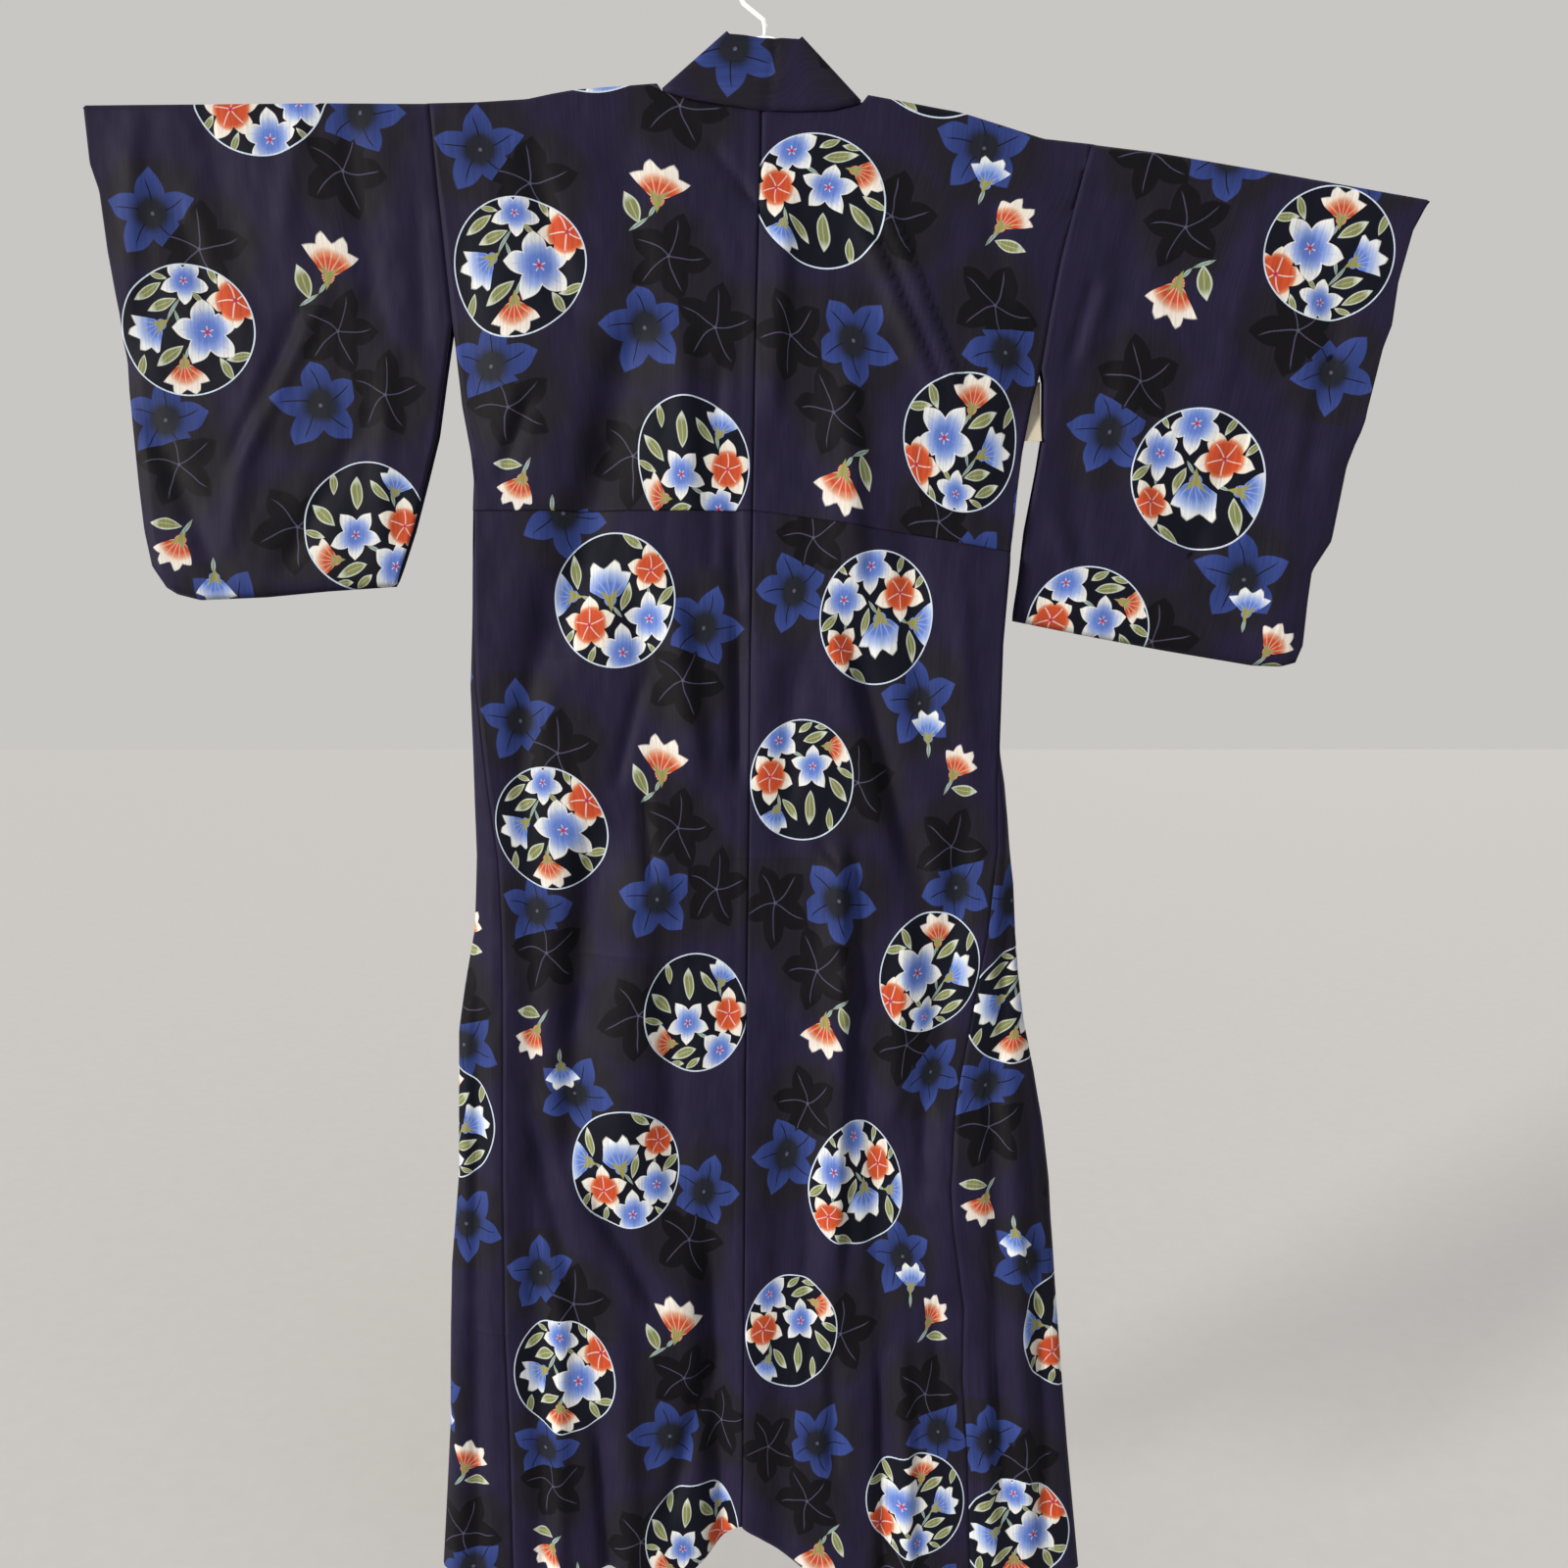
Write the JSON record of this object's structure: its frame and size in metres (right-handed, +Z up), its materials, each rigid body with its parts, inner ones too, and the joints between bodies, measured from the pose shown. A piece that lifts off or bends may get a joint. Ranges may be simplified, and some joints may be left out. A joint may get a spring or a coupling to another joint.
{
  "type": "cotton yukata robe on a plastic hanger",
  "caption": "Long unlined summer kimono of printed cotton, with wide bag sleeves and a folded band collar, spread flat on a plain plastic clothes hanger.",
  "frame": {"origin": "highest point inside the hanger's hook, where a rod or nail carries it", "axes": "+Z up along the robe's length, -Y out of the robe's back, +X towards the sleeve on the right when its back is seen"},
  "size_m": [1.3726, 0.0601, 1.7403],
  "materials": {
    "yukata_cotton": "plain woven printed cotton",
    "hanger_plastic": "moulded white",
    "label_tape": "plain cream tape"
  },
  "bodies": {
    "root": {"body_left": "yukata_cotton", "body_right": "yukata_cotton", "okumi_left": "yukata_cotton", "okumi_right": "yukata_cotton", "sleeve_left": "yukata_cotton", "sleeve_right": "yukata_cotton", "collar": "yukata_cotton", "hanger_arms": "hanger_plastic", "hanger_hook": "hanger_plastic", "label": "label_tape"}
  },
  "joints": []
}
